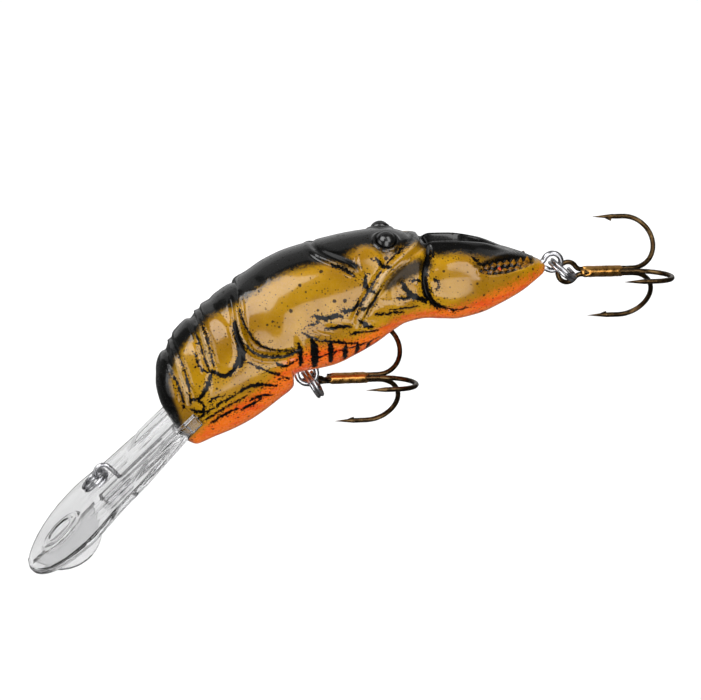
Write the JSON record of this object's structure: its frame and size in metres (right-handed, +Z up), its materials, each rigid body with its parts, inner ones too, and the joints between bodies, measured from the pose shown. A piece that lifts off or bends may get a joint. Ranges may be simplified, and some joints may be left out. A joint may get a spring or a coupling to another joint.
{
  "type": "crankbait lure",
  "caption": "Hollow crawfish-shaped fishing lure with a clear diving lip, a line-tie eye and two swinging treble hooks.",
  "frame": {"origin": "centre of the line-tie eye", "axes": "+Z up in the swimming attitude, +X from the lip towards the tail hook, +Y across the lure towards its right side"},
  "size_m": [0.0949, 0.0244, 0.0504],
  "materials": {
    "painted_body": "painted and clear-coated, black back, gold sides, orange belly",
    "clear_lip": "polished clear polycarbonate",
    "steel_wire": "bright drawn stainless wire",
    "ring_steel": "bright nickel",
    "bronzed_steel": "bronze lacquer over steel wire",
    "braze": "brass braze",
    "ballast": "dull cast lead",
    "ball_steel": "polished"
  },
  "bodies": {
    "lure": {"body_half_left": "painted_body", "body_half_right": "painted_body", "diving_lip": "clear_lip", "line_tie_wire": "steel_wire", "belly_hanger": "steel_wire", "tail_hanger": "steel_wire", "ballast_weight": "ballast"},
    "line_tie_ring": {"line_tie_split_ring": "ring_steel"},
    "belly_ring": {"belly_split_ring": "ring_steel"},
    "belly_hook": {"belly_hook_double": "bronzed_steel", "belly_hook_single": "bronzed_steel", "belly_hook_braze": "braze"},
    "tail_ring": {"tail_split_ring": "ring_steel"},
    "tail_hook": {"tail_hook_double": "bronzed_steel", "tail_hook_single": "bronzed_steel", "tail_hook_braze": "braze"},
    "ball_1": {"rattle_ball_1": "ball_steel"},
    "ball_2": {"rattle_ball_2": "ball_steel"},
    "ball_3": {"rattle_ball_3": "ball_steel"}
  },
  "joints": [
    {"name": "line_tie_ring_swing", "type": "hinge", "parent": "lure", "child": "line_tie_ring", "pos_m": [0, 0, 0], "axis": [0, 1, 0], "range_deg": [-20, 140]},
    {"name": "belly_ring_swing", "type": "hinge", "parent": "lure", "child": "belly_ring", "pos_m": [0.0298, 0, 0.01371], "axis": [0, 1, 0], "range_deg": [-8, 50]},
    {"name": "belly_hook_turn", "type": "hinge", "parent": "belly_ring", "child": "belly_hook", "pos_m": [0.03077, 0.00207, 0.01212], "axis": [0.0566, -0.5665, -0.8221], "range_deg": [-50, 8]},
    {"name": "tail_ring_swing", "type": "hinge", "parent": "lure", "child": "tail_ring", "pos_m": [0.06671, 0, 0.02829], "axis": [0.6561, 0, 0.7547], "range_deg": [-40, 40]},
    {"name": "tail_hook_swing", "type": "hinge", "parent": "tail_ring", "child": "tail_hook", "pos_m": [0.06825, 0.00159, 0.02697], "axis": [-0.2041, 0.9758, -0.0783], "range_deg": [-80, 90]},
    {"name": "ball_1_roll", "type": "slide", "parent": "lure", "child": "ball_1", "axis": [0.9553, 0, 0.2957], "range_m": [0, 0.0029]},
    {"name": "ball_2_roll", "type": "slide", "parent": "lure", "child": "ball_2", "axis": [0.9553, 0, 0.2957], "range_m": [0, 0.0029]},
    {"name": "ball_3_roll", "type": "slide", "parent": "lure", "child": "ball_3", "axis": [0.9553, 0, 0.2957], "range_m": [0, 0.0029]}
  ],
  "couplings": [
    {"joint": "ball_2_roll", "follows": "ball_1_roll", "ratio": 1},
    {"joint": "ball_3_roll", "follows": "ball_1_roll", "ratio": 1}
  ]
}
